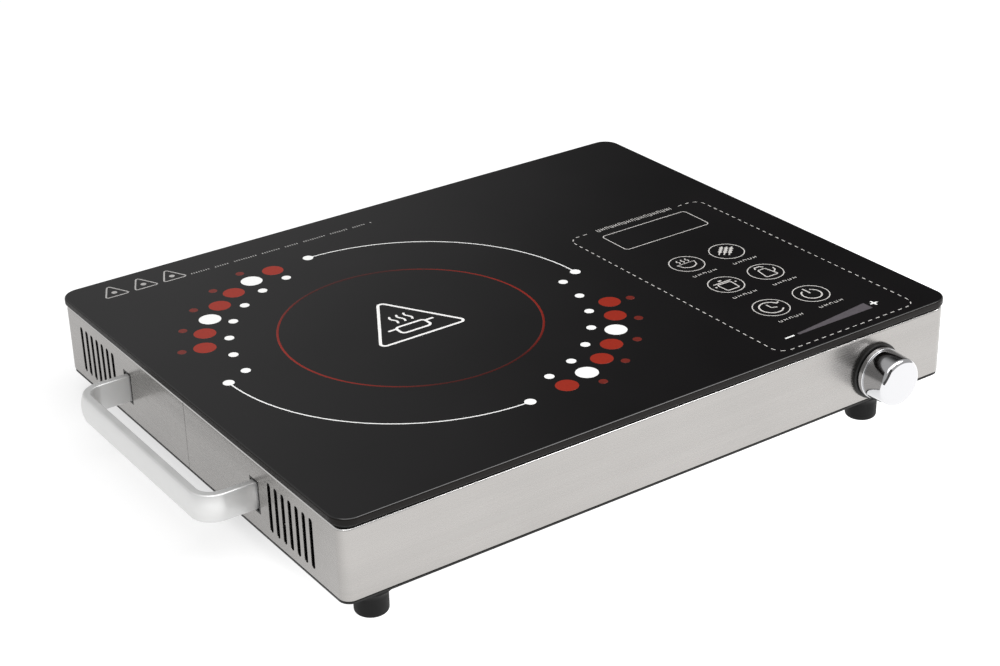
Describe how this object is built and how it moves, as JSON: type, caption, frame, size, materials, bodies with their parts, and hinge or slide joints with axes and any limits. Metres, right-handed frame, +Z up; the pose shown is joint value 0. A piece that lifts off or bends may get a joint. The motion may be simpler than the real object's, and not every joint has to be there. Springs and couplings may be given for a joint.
{
  "type": "induction cooktop",
  "caption": "Portable electric cooktop: black glass plate on a stainless band, round cooking zone, touch panel, front knob, pull-out handle, rubber feet.",
  "frame": {"origin": "middle of the whole object seen from above, from the handle to the glass and from the knob to the glass, on the worktop under the feet", "axes": "+X to the right along the front face, +Y to the back, +Z up; the knob is on the -Y face and the handle on the -X face"},
  "size_m": [0.409, 0.319, 0.0605],
  "materials": {
    "black_glass": "gloss black glass-ceramic with a fired decoration",
    "steel_band": "stainless sheet brushed along its length",
    "satin_aluminium": "satin",
    "machined_aluminium": "plain",
    "label_aluminium": "matt, blank",
    "chrome": "polished",
    "index_ink": "black",
    "black_plastic": "fine grain",
    "grey_plastic": "fine grain",
    "black_rubber": "matt",
    "silicone": "matt",
    "zinc_steel": "zinc plated",
    "copper": "enamelled copper wire",
    "ferrite": "dull dark grey",
    "mica": "silky sheet",
    "white_ceramic": "matt white",
    "circuit_board": "green lacquer",
    "dark_component": "moulded",
    "capacitor_case": "moulded",
    "white_nylon": "moulded",
    "tin_contacts": "tinned",
    "led_segments": "diffusing"
  },
  "bodies": {
    "housing": {"base_cover": "black_plastic", "board_headers": "white_nylon", "board_screws": "zinc_steel", "bridge_rectifier": "dark_component", "choke_base": "dark_component", "choke_core": "copper", "coil_carrier": "grey_plastic", "coil_leads": "copper", "coil_screws": "zinc_steel", "coil_terminals": "tin_contacts", "coil_winding": "copper", "cord_gland": "black_plastic", "cover_screws": "zinc_steel", "display_module": "dark_component", "display_segments": "led_segments", "electrolytic_cans": "capacitor_case", "encoder_board": "circuit_board", "encoder_body": "dark_component", "encoder_nut": "zinc_steel", "fan_frame": "black_plastic", "fan_screws": "zinc_steel", "fan_stator": "dark_component", "ferrite_bars": "ferrite", "film_capacitors": "capacitor_case", "foot_front_left": "black_rubber", "foot_front_right": "black_rubber", "foot_rear_left": "black_rubber", "foot_rear_right": "black_rubber", "foot_screws": "zinc_steel", "fuse": "white_ceramic", "fuse_clips": "tin_contacts", "gland_lock_ring": "black_plastic", "glass_frame": "black_plastic", "glass_top": "black_glass", "guide_screws": "zinc_steel", "handle_guide_front": "black_plastic", "handle_guide_rear": "black_plastic", "heatsink": "machined_aluminium", "insulation_sheet": "mica", "knob_bezel": "black_plastic", "main_board": "circuit_board", "mains_terminal": "white_nylon", "panel_ribbon": "white_nylon", "panel_tray": "black_plastic", "power_transistor": "dark_component", "rating_plate": "label_aluminium", "sensor_bead": "dark_component", "sensor_bush": "silicone", "side_band": "steel_band", "supply_transformer": "ferrite", "touch_board": "circuit_board", "touch_pads": "tin_contacts", "tray_screws": "zinc_steel"},
    "handle": {"handle_bar": "satin_aluminium", "handle_stops": "grey_plastic"},
    "knob": {"control_knob": "chrome", "knob_index": "index_ink", "encoder_shaft": "machined_aluminium"},
    "fan": {"fan_rotor": "grey_plastic", "fan_shaft": "zinc_steel"}
  },
  "joints": [
    {"name": "handle_slide", "type": "slide", "parent": "housing", "child": "handle", "axis": [1, 0, 0], "range_m": [0, 0.016]},
    {"name": "knob_turn", "type": "hinge", "parent": "housing", "child": "knob", "pos_m": [0.1516, -0.14895, 0.0326], "axis": [0, 1, 0], "continuous": true},
    {"name": "fan_spin", "type": "hinge", "parent": "housing", "child": "fan", "pos_m": [0.138, 0.09705, 0.028], "axis": [0, 0, 1], "continuous": true}
  ]
}
